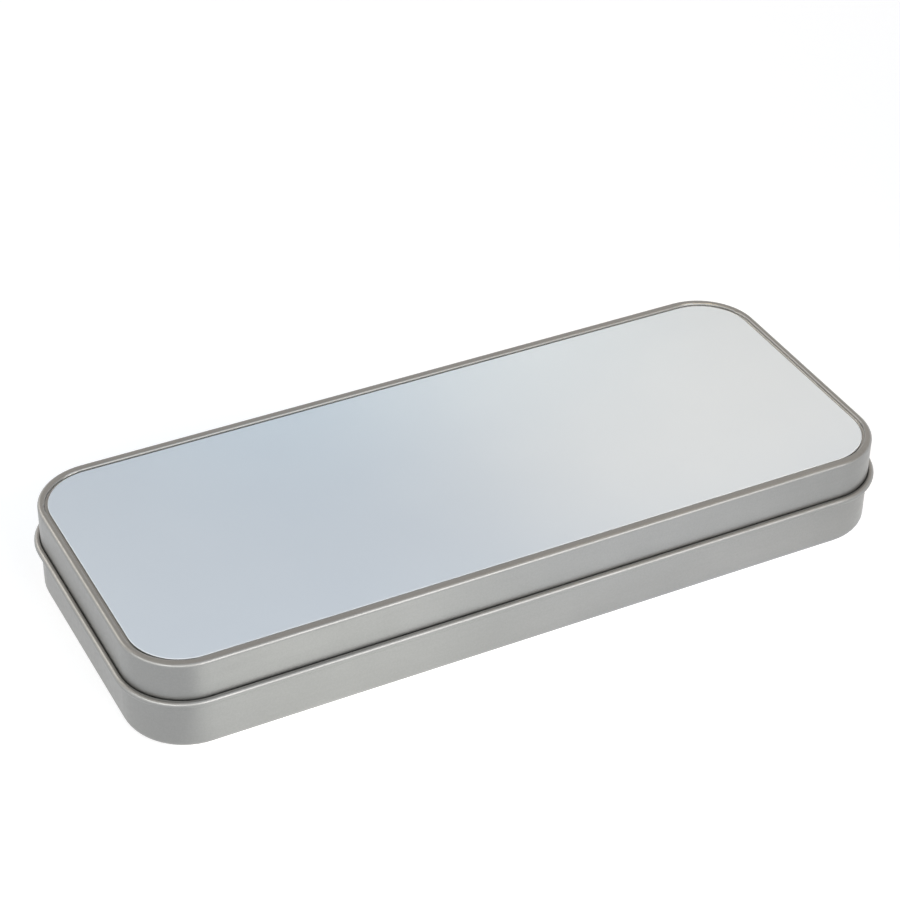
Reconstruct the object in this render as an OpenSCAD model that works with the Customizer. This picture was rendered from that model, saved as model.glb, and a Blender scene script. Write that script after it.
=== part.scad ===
// Hinged tinplate pencil case: drawn base, drawn lid with a rolled lower edge, two rolled
// knuckle hinges with wire pins, and a coated plate bonded into a recess in the lid.
// +X runs along the length, +Z is up, the hinge is at the back (+Y), and z = 0 is the table.

/* [Case] */
// Length over the rolled edge
case_length = 210; // [120:1:260]
// Width over the rolled edge
case_width = 88; // [60:1:140]
// Height from the table to the top of the lid
case_height = 25.8; // [22:0.1:40]
// Corner radius of the walls, seen from above
corner_radius = 16.2; // [12:0.1:24]
// Thickness of the tinplate
sheet = 0.3; // [0.25:0.05:0.35]

/* [Lid] */
// Height of the hinge line and of the middle of the lid's rolled edge
hinge_height = 14.4; // [14.3:0.1:16]
// Outer radius of the lid's rolled edge
curl_radius = 0.95; // [0.9:0.05:1.1]
// How far round the rolled edge goes, from the wall to its free edge
curl_angle = 298; // [240:1:300]
// Rounding of the lid's top edge
lid_edge_radius = 0.9; // [0.6:0.1:1.1]
// Width of the frame along the long sides, with its rounded edges
frame_side_width = 2.4; // [1.6:0.1:5]
// Width of the frame at the two ends
frame_end_width = 1.7; // [1.5:0.1:5]
// Depth of the recess for the plate
recess_depth = 0.95; // [0.85:0.05:1.2]

/* [Plate] */
// Thickness of the bonded plate
plate_thickness = 0.5; // [0.4:0.05:0.6]
// Thickness of the adhesive film under the plate
film_thickness = 0.1; // [0.05:0.05:0.15]
// How far the adhesive film ends inside the plate's edge
film_inset = 0.5; // [0.2:0.1:3]
// Gap between the plate and the wall of the recess along the long sides
plate_side_gap = 0.4; // [0.3:0.05:1]
// Gap between the plate and the wall of the recess at the two ends
plate_end_gap = 0.8; // [0.3:0.05:1]
// Rounding of the plate's upper edge
plate_edge_radius = 0.3; // [0.1:0.05:0.3]

/* [Base] */
// Rounding of the base's bottom edge
base_edge_radius = 2.5; // [1.5:0.1:4]
// Height of the shoulder that the closed lid comes down to
shoulder_height = 13.5; // [12:0.1:13.5]
// Gap between the neck of the base and the inside of the lid
neck_gap = 0.35; // [0.3:0.05:0.5]
// Height of the neck's rolled rim
rim_height = 20; // [19:0.1:20.5]
// Outer radius of the rim's roll
rim_roll_radius = 0.75; // [0.6:0.05:0.9]
// How far in from the wall the floor's raised panel starts
panel_inset = 7; // [6:0.5:12]
// Rise of the floor's raised panel
panel_rise = 0.5; // [0.3:0.1:0.8]

/* [Hinges] */
// Distance of each hinge from the middle of the case
hinge_offset = 62; // [30:1:65]
// Width of each knuckle
knuckle_width = 14; // [8:1:20]
// Clearance between each wire pin and the inside of its knuckle
pin_clearance = 0.05; // [0.02:0.01:0.1]
// Length of each wire pin
pin_length = 44; // [30:1:48]
// How far round the pin each knuckle is rolled
knuckle_angle = 305; // [270:1:320]
// Clearance beside each knuckle
knuckle_side_gap = 0.4; // [0.3:0.1:0.8]

/* [Hidden] */
$fn = 64;

curl_bore = curl_radius - sheet;
curl_reach = 2 * curl_radius - sheet;      // how far the rolled edge stands out from the wall
wall_length = case_length - 2 * curl_reach;
wall_width = case_width - 2 * curl_reach;
hinge_y = wall_width / 2 + curl_bore;      // the hinge line lies in the lid's rolled edge
pin_radius = curl_bore - pin_clearance;
recess_floor = case_height - recess_depth;
frame_bend = sheet + 0.15;                 // outer radius of the bend from the frame to the recess
step_bend = 0.1;                           // inner radius of the bend at the recess floor
neck_inset = sheet + neck_gap;             // from the wall's outer face to the neck's
shoulder_bend = sheet + 0.2;
neck_bend = neck_inset - shoulder_bend;    // the reverse bend takes up the rest of the step
notch_top = hinge_height + curl_radius + 0.6;
window_top = hinge_height + 3.3;           // the knuckle's strip is cut from the neck up to here
rear = 10;                                 // reach of the cutting blocks behind the case
seam = 1;                                  // width of the strip that a sweep shares with its panel
frame_seam = 0.1;                          // the same on the frame

// Outlines seen from above, each as [length, width, corner radius]
walls = [wall_length, wall_width, corner_radius];
recess = smaller(walls, frame_end_width, frame_side_width);
plate = smaller(recess, plate_end_gap, plate_side_gap);

// An outline moved in at its ends and sides, with the corners moved in by the mean of the two
function smaller(size, ends, sides) =
    [size[0] - 2 * ends, size[1] - 2 * sides, size[2] - (ends + sides) / 2];

// ---- Outlines and sweeps ----

module outline(size) {
    radius = size[2];
    square([size[0] - 2 * radius, size[1]], center = true);
    square([size[0], size[1] - 2 * radius], center = true);
    for (x = [-1, 1], y = [-1, 1])
        translate([x * (size[0] / 2 - radius), y * (size[1] / 2 - radius)]) circle(radius);
}

// A flat panel that ends at the given inset from an outline
module panel(size, inset, z, thickness) {
    translate([0, 0, z]) linear_extrude(thickness) outline(smaller(size, inset, inset));
}

// Carries a section round an outline. In the section, x = 0 is the outline and x < 0 is inside
// it; y is the height.
module sweep_round(size) {
    radius = size[2];
    half_x = size[0] / 2 - radius;
    half_y = size[1] / 2 - radius;
    for (turn = [0, 180]) rotate(turn) {
        translate([half_x, half_y]) rotate_extrude(angle = 90) translate([radius, 0]) children();
        translate([half_x, -half_y]) rotate(-90)
            rotate_extrude(angle = 90) translate([radius, 0]) children();
        translate([size[0] / 2, half_y]) rotate([90, 0, 0]) linear_extrude(2 * half_y) children();
        translate([-half_x, size[1] / 2]) rotate([90, 0, 90]) linear_extrude(2 * half_x) children();
    }
}

// ---- Sections ----

// A band of sheet bent round the origin from one angle to another, less than a full turn
module bend(outer, from, to) {
    reach = 3 * outer;
    steps = 8;
    difference() {
        circle(outer);
        if (outer > sheet) circle(outer - sheet);
        polygon(concat([[0, 0]], [for (i = [0 : steps])
            let (a = to + (from + 360 - to) * i / steps) reach * [cos(a), sin(a)]]));
    }
}

// A straight run of sheet between two corners of its rectangle
module run(low, high) {
    translate(low) square(high - low);
}

module lid_wall_section() {
    // rolled edge, from the wall's foot outward and up to its free edge
    translate([curl_bore, hinge_height]) bend(curl_radius, 180, 180 + curl_angle);
    run([-sheet, hinge_height], [0, case_height - lid_edge_radius]);
    translate([-lid_edge_radius, case_height - lid_edge_radius]) bend(lid_edge_radius, 0, 90);
    run([-lid_edge_radius - frame_seam, case_height - sheet], [-lid_edge_radius, case_height]);
}

// The step from the frame down to the floor of the recess
module lid_recess_section() {
    run([frame_bend, case_height - sheet], [frame_bend + frame_seam, case_height]);
    translate([frame_bend, case_height - frame_bend]) bend(frame_bend, 90, 180);
    run([0, recess_floor + step_bend], [sheet, case_height - frame_bend]);
    translate([-step_bend, recess_floor + step_bend]) bend(step_bend + sheet, 270, 360);
    run([-step_bend - seam, recess_floor - sheet], [-step_bend, recess_floor]);
}

module base_wall_section() {
    // foot, bottom edge and lower wall
    run([-panel_inset, 0], [-base_edge_radius, sheet]);
    translate([-base_edge_radius, base_edge_radius]) bend(base_edge_radius, 270, 360);
    run([-sheet, base_edge_radius], [0, shoulder_height - shoulder_bend]);
    // slope up to the raised panel
    polygon([[-panel_inset, 0], [-panel_inset - panel_rise, panel_rise],
             [-panel_inset - panel_rise - seam, panel_rise],
             [-panel_inset - panel_rise - seam, panel_rise + sheet],
             [-panel_inset - panel_rise, panel_rise + sheet], [-panel_inset, sheet]]);
}

module base_neck_section() {
    roll_x = -neck_inset - rim_roll_radius;
    translate([-shoulder_bend, shoulder_height - shoulder_bend]) bend(shoulder_bend, 0, 90);
    translate([-neck_inset + neck_bend, shoulder_height + neck_bend])
        bend(neck_bend + sheet, 180, 270);
    run([-neck_inset - sheet, shoulder_height + neck_bend],
        [-neck_inset, rim_height - rim_roll_radius]);
    translate([roll_x, rim_height - rim_roll_radius]) bend(rim_roll_radius, 0, 290);
}

// ---- Parts ----

module at_hinges() {
    for (x = [-hinge_offset, hinge_offset]) translate([x, hinge_y, 0]) children();
}

// A block behind the hinge's middle, wide enough for a knuckle and a gap on each side
module hinge_cut(gap, front_y, bottom, top) {
    width = knuckle_width + 2 * gap;
    at_hinges() translate([-width / 2, front_y - hinge_y, bottom])
        cube([width, rear, top - bottom]);
}

// A strip left standing on the base's wall and rolled outward round the pin
module knuckle() {
    translate([-knuckle_width / 2, 0, hinge_height]) rotate([90, 0, 90])
        linear_extrude(knuckle_width) bend(curl_radius, 180 - knuckle_angle, 180);
    strip_foot = shoulder_height - shoulder_bend;
    translate([-knuckle_width / 2, -curl_radius, strip_foot])
        cube([knuckle_width, sheet, hinge_height - strip_foot]);
}

module base_tray() {
    color("silver") {
        sweep_round(walls) base_wall_section();
        panel(walls, panel_inset + panel_rise + seam, panel_rise, sheet);
        difference() {
            sweep_round(walls) base_neck_section();
            hinge_cut(0, wall_width / 2 - 2, shoulder_height - shoulder_bend, window_top);
        }
        at_hinges() knuckle();
    }
}

module lid_shell() {
    color("silver") {
        difference() {
            sweep_round(walls) lid_wall_section();
            hinge_cut(knuckle_side_gap, wall_width / 2 - 1, 0, notch_top);
        }
        difference() {
            panel(walls, lid_edge_radius, case_height - sheet, sheet);
            panel(recess, -frame_bend, case_height - sheet - 1, sheet + 2);
        }
        sweep_round(recess) lid_recess_section();
        panel(recess, step_bend + seam, recess_floor - sheet, sheet);
    }
}

module hinge_pin(side) {
    color("gray") translate([side * hinge_offset - pin_length / 2, hinge_y, hinge_height])
        rotate([0, 90, 0]) cylinder(r = pin_radius, h = pin_length);
}

module insert_plate() {
    plate_bottom = recess_floor + film_thickness;
    shoulder = plate_bottom + plate_thickness - plate_edge_radius;
    color("white") {
        panel(plate, 0, plate_bottom, plate_thickness - plate_edge_radius);
        panel(plate, plate_edge_radius, shoulder, plate_edge_radius);
        intersection() {
            sweep_round(plate) translate([-plate_edge_radius, shoulder]) circle(plate_edge_radius);
            panel(plate, -1, shoulder, plate_edge_radius + 1);
        }
    }
}

module insert_adhesive() {
    color("gainsboro") panel(plate, film_inset, recess_floor, film_thickness);
}

base_tray();
lid_shell();
hinge_pin(-1);  // hinge_pin_left
hinge_pin(1);  // hinge_pin_right
insert_plate();
insert_adhesive();
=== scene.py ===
"""Looks of the hinged tin pencil case: satin tinplate shells, a white coated plate, and a plain
pale studio. Everything is in metres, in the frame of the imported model: +X along the case's
length, +Y towards the hinge, +Z up, with z = 0 on the table. Colours are linear."""
import math

import bpy
from mathutils import Matrix, Vector

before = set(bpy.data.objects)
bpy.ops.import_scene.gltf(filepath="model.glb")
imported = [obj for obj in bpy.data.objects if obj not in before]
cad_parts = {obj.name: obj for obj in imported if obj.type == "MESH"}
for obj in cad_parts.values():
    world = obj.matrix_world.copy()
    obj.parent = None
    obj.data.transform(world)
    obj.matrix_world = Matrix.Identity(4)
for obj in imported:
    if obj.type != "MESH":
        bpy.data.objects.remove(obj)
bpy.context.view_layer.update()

MM = 0.001

# ---- Camera settings: the photograph's viewpoint, found from the case's edges ----

CAMERA_TARGET = Vector((-0.4, 6.9, 25.8)) * MM   # the point that the view's middle passes through
CAMERA_AZIMUTH = -27.63                          # degrees; 0 looks along +Y
CAMERA_ELEVATION = 35.82                         # degrees above the horizon
CAMERA_ROLL = 1.0                                # degrees, anticlockwise as the camera sees it
CAMERA_DISTANCE = 646.1 * MM
CAMERA_LENS = 101.2                              # millimetres, on a 36 mm sensor
CAMERA_CLIP = 0.01, 50                           # the nearest and farthest that it shows

# ---- Material settings ----

# Patterns: features per metre, detail, and the stretch along X, Y and Z
SPECKLE = 2200, 3
ROLLING_LINES = 900, 3, (0.05, 1, 1)
SHEET_CLOUD = 45, 2
SHEET_WAVES = 18, 1
ORANGE_PEEL = 700, 2
COATING_CLOUD = 25, 2
DRAWING_LINES = 3000, 3, (0.03, 1, 1)
FILM_CLOUD = 400, 3

# The part of a pattern's range that most of it lies in
NOISE_RANGE = 0.3, 0.7
CLOUD_RANGE = 0.35, 0.65
SUM_RANGE = 0.7, 1.3         # of two patterns added up

# Bumps: height of the relief and strength
FINE_RELIEF = 0.00001, 0.5
WAVE_RELIEF = 0.00025, 0.6
PEEL_RELIEF = 0.00002, 0.4

TIN_TONES = (0.277, 0.277, 0.27), (0.306, 0.305, 0.298)
# Painted light: much brighter tin for the walls of the lid's recess, lightening the gap's shade
RECESS_PAINTED_LIGHT = (0.72, 0.71, 0.69)
TIN_ROUGHNESS = 0.33, 0.4
COATING_TONES = (0.745, 0.765, 0.785), (0.765, 0.782, 0.798)
# Painted highlight: a paler colour on the plate's rounded rim
RIM_PAINTED_HIGHLIGHT = (0.88, 0.89, 0.9)
COATING_ROUGHNESS = 0.3, 0.36
# Grey bare cut edge at the front and the left, which also paints shade into the gap line there
CUT_METAL_AND_GAP_SHADE = (0.3, 0.3, 0.3)
WIRE_TONES = (0.38, 0.38, 0.38), (0.52, 0.52, 0.51)
WIRE_ROUGHNESS = 0.25, 0.4
FILM_TONES = (0.62, 0.61, 0.56), (0.74, 0.73, 0.69)
FILM_ROUGHNESS = 0.5, 0.7

# The walls of the lid's recess, where light is painted: where the normal points to the middle, in
# this band of heights
RECESS_TURN = 0.0, -0.01                # dot product of the normal and the place
RECESS_BOTTOM = 24.7 * MM, 24.8 * MM
RECESS_TOP = 25.5 * MM, 25.3 * MM

# The plate's rim, where a paler colour paints a highlight, by how far its normal points up; and
# the sides where its cut edge is grey bare metal, which also paints the gap's shade deeper there
RIM_HIGHLIGHT_TURN = 0.99, 0.9
CUT_EDGE_TURN = 0.5, 0.35
BARE_AND_SHADED_SIDE = (-0.7, -0.7, 0)
BARE_AND_SHADED_SIDE_TURN = -0.1, 0.1

# ---- Studio settings ----

# What the camera and mirrors see round the floor: one colour that turns into another where the
# Z of the direction goes through this range
BACKDROP_LOW = (1.5, 1.5, 1.5)
BACKDROP_HIGH = (0.84, 0.79, 0.745)
BACKDROP_RISE = 0.1, 0.35
FILL_LIGHT = (0.17, 0.21, 0.265)          # from all round, on matt surfaces

FLOOR_HALF_SIZE = 3.0
FLOOR_COLOUR = (0.5, 0.5, 0.5)
FLOOR_GLOW = (0.712, 0.702, 0.693)
FLOOR_GLOW_BEHIND = (0.79, 0.765, 0.74)   # less lamp light falls there
FLOOR_GLOW_FAR = (1.0, 1.0, 1.0)          # beyond the lamps' reach
BEHIND_RANGE = 0.0, 0.25                  # along Y
FAR_RANGE = 0.35, 1.6                     # from the origin
# Brighter patches of the floor before the case: middle, half length and half depth, and glow
FLOOR_PATCHES = (
    ((-0.055, -0.07, 0), (0.1, 0.08, 1), (0.76, 0.77, 0.72)),
    ((0.045, -0.08, 0), (0.095, 0.10, 1), (0.38, 0.4, 0.43)),
)
PATCH_LEFT_EDGE = -0.1, -0.084            # the patches fade in between these places along X

ORIGIN = (0, 0, 0)
FULL_SPREAD = 180
# Lamps: name, place, point aimed at, width, depth, watts, colour, spread in degrees
SOFTBOXES = (
    ("front_light", (0.14, -0.6, 0.38), ORIGIN, 0.55, 0.35, 2.15, (1, 1, 1), FULL_SPREAD),
    ("left_front_light", (-0.54, -0.51, 0.41), ORIGIN, 0.7, 0.3, 2.1, (0.97, 1, 1), FULL_SPREAD),
    ("corner_light", (-0.72, 0.0, 0.4), ORIGIN, 0.42, 0.26, 0.75, (0.95, 1, 1), FULL_SPREAD),
    ("top_light", (0.05, -0.3, 0.7), ORIGIN, 0.5, 0.5, 0.5, (0.72, 0.88, 1), FULL_SPREAD),
    ("left_light", (-0.42, 0.66, 0.5), ORIGIN, 0.4, 0.4, 1.1, (1, 0.96, 0.89), FULL_SPREAD),
    # These two take the plate from blue grey to neutral white along its length
    ("middle_light", (0.007, 0.055, 0.26), (0.007, 0.055, 0), 0.14, 0.07, 0.0038,
     (0.35, 0.78, 1), 31),
    ("right_light", (0.079, 0.017, 0.26), (0.079, 0.017, 0), 0.14, 0.16, 0.0207,
     (1, 0.8, 0.52), 31),
)


def add_camera():
    """The photograph's camera, turned round the point that it looks at."""
    azimuth, elevation, roll = (
        math.radians(angle) for angle in (CAMERA_AZIMUTH, CAMERA_ELEVATION, CAMERA_ROLL))
    back = Vector((math.sin(azimuth) * math.cos(elevation),
                   -math.cos(azimuth) * math.cos(elevation),
                   math.sin(elevation)))
    right = Vector((0, 0, 1)).cross(back).normalized()
    up = back.cross(right)
    x_axis = right * math.cos(roll) + up * math.sin(roll)
    y_axis = up * math.cos(roll) - right * math.sin(roll)
    turn = Matrix((x_axis, y_axis, back)).transposed().to_4x4()
    data = bpy.data.cameras.new("camera")
    data.lens = CAMERA_LENS
    data.clip_start, data.clip_end = CAMERA_CLIP
    camera = bpy.data.objects.new("camera", data)
    camera.matrix_world = Matrix.Translation(CAMERA_TARGET + back * CAMERA_DISTANCE) @ turn
    bpy.context.scene.collection.objects.link(camera)
    bpy.context.scene.camera = camera


# ---- Node helpers ----

def add_node(tree, kind, inputs=None, **settings):
    """Adds a node, sets its properties and fills its inputs with values or other nodes' outputs."""
    node = tree.nodes.new(kind)
    for name, value in settings.items():
        setattr(node, name, value)
    for name, value in (inputs or {}).items():
        if isinstance(value, bpy.types.NodeSocket):
            tree.links.new(value, node.inputs[name])
        else:
            node.inputs[name].default_value = value
    return node


def combine(tree, operation, first, second):
    """The result of an operation on two numbers."""
    return add_node(tree, "ShaderNodeMath", {0: first, 1: second}, operation=operation).outputs[0]


def measure(tree, operation, *vectors):
    """A number taken from vectors: a length or a dot product."""
    return add_node(tree, "ShaderNodeVectorMath", dict(enumerate(vectors)),
                    operation=operation).outputs["Value"]


def split(tree, vector):
    """A vector's X, Y and Z."""
    return add_node(tree, "ShaderNodeSeparateXYZ", {"Vector": vector}).outputs[:3]


def noise(tree, coords, scale, detail, stretch=(1, 1, 1)):
    """A pattern from 0 to 1. One feature is about 1 / scale metres across before the stretch."""
    mapped = add_node(tree, "ShaderNodeMapping", {"Vector": coords, "Scale": stretch}).outputs[0]
    return add_node(tree, "ShaderNodeTexNoise",
                    {"Vector": mapped, "Scale": scale, "Detail": detail}).outputs["Fac"]


def blend_range(tree, value, low, high, out_low=0, out_high=1, interpolation="LINEAR"):
    """Maps a value's range onto another one, clamped."""
    return add_node(tree, "ShaderNodeMapRange", {
        "Value": value, "From Min": low, "From Max": high,
        "To Min": out_low, "To Max": out_high}, interpolation_type=interpolation).outputs[0]


def two_tone(tree, factor, first, second):
    """A colour between two colours, each given as red, green, blue or as another node's output."""
    mix = add_node(tree, "ShaderNodeMix", data_type="RGBA")
    tree.links.new(factor, mix.inputs["Factor"])
    for socket, colour in ((mix.inputs["A"], first), (mix.inputs["B"], second)):
        if isinstance(colour, bpy.types.NodeSocket):
            tree.links.new(colour, socket)
        else:
            socket.default_value = (*colour, 1)
    return mix.outputs["Result"]


def bump(tree, height, distance, strength, normal=None):
    """A normal bent by a pattern, on top of another bent normal where one is given."""
    node = add_node(tree, "ShaderNodeBump", {"Height": height, "Distance": distance,
                                             "Strength": strength})
    if normal is not None:
        tree.links.new(normal, node.inputs["Normal"])
    return node.outputs["Normal"]


def new_material(name):
    """An empty material with its shader, and the object's own coordinates for its patterns."""
    material = bpy.data.materials.new(name)
    material.use_nodes = True
    tree = material.node_tree
    shader = tree.nodes["Principled BSDF"]
    coords = add_node(tree, "ShaderNodeTexCoord").outputs["Object"]
    return material, tree, shader, coords


def surface_normal(tree):
    """The normal in the object's own frame."""
    return add_node(tree, "ShaderNodeTexCoord").outputs["Normal"]


# ---- Materials ----

def recess_light_mask(tree, coords):
    """1 on the walls of the lid's recess, where light is painted, and 0 elsewhere."""
    inward = measure(tree, "DOT_PRODUCT", surface_normal(tree), coords)
    height = split(tree, coords)[2]
    band = combine(tree, "MULTIPLY", blend_range(tree, height, *RECESS_BOTTOM),
                   blend_range(tree, height, *RECESS_TOP))
    return combine(tree, "MULTIPLY", blend_range(tree, inward, *RECESS_TURN), band)


def tinplate_material():
    """Satin tinplate: an even grey with a fine speckle, faint rolling lines along the length and
    a very slight waviness of the drawn sheet. The walls of the lid's recess get a much brighter
    tin colour, painted light that lightens the shade in the gap round the plate."""
    material, tree, shader, coords = new_material("satin_tinplate")
    speckle = noise(tree, coords, *SPECKLE)
    rolling = noise(tree, coords, *ROLLING_LINES)
    tone = combine(tree, "ADD", speckle, noise(tree, coords, *SHEET_CLOUD))
    grey = two_tone(tree, blend_range(tree, tone, *SUM_RANGE), *TIN_TONES)
    # Painted light on the walls of the lid's recess
    colour = two_tone(tree, recess_light_mask(tree, coords), grey, RECESS_PAINTED_LIGHT)
    tree.links.new(colour, shader.inputs["Base Color"])
    rough = blend_range(tree, rolling, *NOISE_RANGE, *TIN_ROUGHNESS)
    tree.links.new(rough, shader.inputs["Roughness"])
    shader.inputs["Metallic"].default_value = 1.0
    wavy = bump(tree, noise(tree, coords, *SHEET_WAVES), *WAVE_RELIEF)
    fine = bump(tree, rolling, *FINE_RELIEF, wavy)
    tree.links.new(bump(tree, speckle, *FINE_RELIEF, fine), shader.inputs["Normal"])
    return material


def plate_material():
    """Smooth white coating, softly glossy, with a trace of orange peel and a painted highlight: a
    paler colour on the rounded rim. The cut edge below it is grey bare metal at the front and the
    left, which also paints shade into the gap line there, and white at the back and the right,
    which paints light over the gap's shade there."""
    material, tree, shader, coords = new_material("white_coating")
    peel = noise(tree, coords, *ORANGE_PEEL)
    cloud = noise(tree, coords, *COATING_CLOUD)
    normal = surface_normal(tree)
    facing_up = split(tree, normal)[2]
    face = two_tone(tree, blend_range(tree, cloud, *CLOUD_RANGE), *COATING_TONES)
    # Painted highlight: the rounded rim is paler
    coating_with_rim_highlight = two_tone(tree, blend_range(tree, facing_up, *RIM_HIGHLIGHT_TURN), face, RIM_PAINTED_HIGHLIGHT)
    # Grey bare cut edge at the front and the left, also painted shade in the gap line; white at the
    # back and the right, painted light over the gap's shade
    to_bare_and_shaded_side = measure(tree, "DOT_PRODUCT", normal, BARE_AND_SHADED_SIDE)
    bare_and_shaded = combine(tree, "MULTIPLY", blend_range(tree, facing_up, *CUT_EDGE_TURN),
                   blend_range(tree, to_bare_and_shaded_side, *BARE_AND_SHADED_SIDE_TURN))
    tree.links.new(two_tone(tree, bare_and_shaded, coating_with_rim_highlight, CUT_METAL_AND_GAP_SHADE), shader.inputs["Base Color"])
    tree.links.new(bare_and_shaded, shader.inputs["Metallic"])
    rough = blend_range(tree, peel, *NOISE_RANGE, *COATING_ROUGHNESS)
    tree.links.new(rough, shader.inputs["Roughness"])
    tree.links.new(bump(tree, peel, *PEEL_RELIEF), shader.inputs["Normal"])
    return material


def wire_material():
    """Drawn steel wire, with fine lines along its length."""
    material, tree, shader, coords = new_material("drawn_wire")
    lines = noise(tree, coords, *DRAWING_LINES)
    tree.links.new(two_tone(tree, lines, *WIRE_TONES), shader.inputs["Base Color"])
    rough = blend_range(tree, lines, *NOISE_RANGE, *WIRE_ROUGHNESS)
    tree.links.new(rough, shader.inputs["Roughness"])
    shader.inputs["Metallic"].default_value = 1.0
    tree.links.new(bump(tree, lines, *FINE_RELIEF), shader.inputs["Normal"])
    return material


def film_material():
    """Cloudy adhesive film."""
    material, tree, shader, coords = new_material("adhesive_film")
    cloud = noise(tree, coords, *FILM_CLOUD)
    tree.links.new(two_tone(tree, cloud, *FILM_TONES), shader.inputs["Base Color"])
    rough = blend_range(tree, cloud, *NOISE_RANGE, *FILM_ROUGHNESS)
    tree.links.new(rough, shader.inputs["Roughness"])
    return material


def dress_case():
    """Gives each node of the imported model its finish."""
    finishes = (
        (tinplate_material(), ("base_tray", "lid_shell")),
        (plate_material(), ("insert_plate",)),
        (film_material(), ("insert_adhesive",)),
        (wire_material(), ("hinge_pin_left", "hinge_pin_right")),
    )
    for material, nodes in finishes:
        for node in nodes:
            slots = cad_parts[node].data.materials
            slots.clear()
            slots.append(material)


# ---- Studio ----

def seen_by_eye(tree):
    """1 for rays that show the surroundings: straight, mirrored or through glass."""
    path = add_node(tree, "ShaderNodeLightPath").outputs
    seen = combine(tree, "MAXIMUM", path["Is Camera Ray"], path["Is Glossy Ray"])
    return combine(tree, "MAXIMUM", seen, path["Is Transmission Ray"])


def studio_world():
    """A white backdrop that turns to a warm grey overhead, and a cool even light from all round."""
    world = bpy.data.worlds.new("studio")
    bpy.context.scene.world = world
    world.use_nodes = True
    tree = world.node_tree
    tree.nodes.clear()
    direction = add_node(tree, "ShaderNodeTexCoord").outputs["Generated"]
    risen = blend_range(tree, split(tree, direction)[2], *BACKDROP_RISE,
                        interpolation="SMOOTHSTEP")
    backdrop = add_node(tree, "ShaderNodeBackground", {
        "Color": two_tone(tree, risen, BACKDROP_LOW, BACKDROP_HIGH)}).outputs[0]
    fill = add_node(tree, "ShaderNodeBackground", {"Color": (*FILL_LIGHT, 1)}).outputs[0]
    mixed = add_node(tree, "ShaderNodeMixShader",
                     {"Fac": seen_by_eye(tree), 1: fill, 2: backdrop}).outputs[0]
    add_node(tree, "ShaderNodeOutputWorld", {"Surface": mixed})


def floor_material():
    """A pale matt floor with a glow that only the eye and mirrors see, stronger in the patches."""
    material = bpy.data.materials.new("pale_floor")
    material.use_nodes = True
    tree = material.node_tree
    tree.nodes.clear()
    seen = seen_by_eye(tree)
    place = add_node(tree, "ShaderNodeNewGeometry").outputs["Position"]
    along, across = split(tree, place)[:2]

    def add_glow(shader, colour, strength):
        glow = add_node(tree, "ShaderNodeEmission", {"Color": colour, "Strength": strength})
        return add_node(tree, "ShaderNodeAddShader", {0: shader, 1: glow.outputs[0]}).outputs[0]

    near = two_tone(tree, blend_range(tree, across, *BEHIND_RANGE), FLOOR_GLOW, FLOOR_GLOW_BEHIND)
    far = blend_range(tree, measure(tree, "LENGTH", place), *FAR_RANGE)
    matt = add_node(tree, "ShaderNodeBsdfDiffuse", {"Color": (*FLOOR_COLOUR, 1)}).outputs[0]
    shader = add_glow(matt, two_tone(tree, far, near, FLOOR_GLOW_FAR), seen)
    inside = blend_range(tree, along, *PATCH_LEFT_EDGE, interpolation="SMOOTHSTEP")
    lit = combine(tree, "MULTIPLY", inside, seen)
    for middle, size, colour in FLOOR_PATCHES:
        local = add_node(tree, "ShaderNodeMapping", {
            "Vector": place, "Location": middle, "Scale": size}, vector_type="TEXTURE").outputs[0]
        share = blend_range(tree, measure(tree, "LENGTH", local), 0, 1, 1, 0, "SMOOTHSTEP")
        shader = add_glow(shader, (*colour, 1), combine(tree, "MULTIPLY", share, lit))
    add_node(tree, "ShaderNodeOutputMaterial", {"Surface": shader})
    return material


def add_floor():
    """A pale floor that keeps the case's shadow and shows white where it is fully lit."""
    half = FLOOR_HALF_SIZE
    mesh = bpy.data.meshes.new("floor")
    mesh.from_pydata([(-half, -half, 0), (half, -half, 0), (half, half, 0), (-half, half, 0)],
                     [], [(0, 1, 2, 3)])
    mesh.materials.append(floor_material())
    floor = bpy.data.objects.new("floor", mesh)
    bpy.context.scene.collection.objects.link(floor)


def add_softbox(name, place, aim, width, depth, power, colour, spread):
    """A rectangular lamp at a place, facing the point it is aimed at."""
    data = bpy.data.lights.new(name, "AREA")
    data.shape = "RECTANGLE"
    data.size = width
    data.size_y = depth
    data.energy = power
    data.color = colour
    data.spread = math.radians(spread)
    lamp = bpy.data.objects.new(name, data)
    lamp.location = place
    lamp.rotation_mode = "QUATERNION"
    lamp.rotation_quaternion = (Vector(aim) - Vector(place)).to_track_quat("-Z", "Y")
    lamp.visible_camera = False
    bpy.context.scene.collection.objects.link(lamp)


add_camera()
studio_world()
add_floor()
for softbox in SOFTBOXES:
    add_softbox(*softbox)
dress_case()

bpy.context.scene.view_settings.view_transform = "Standard"
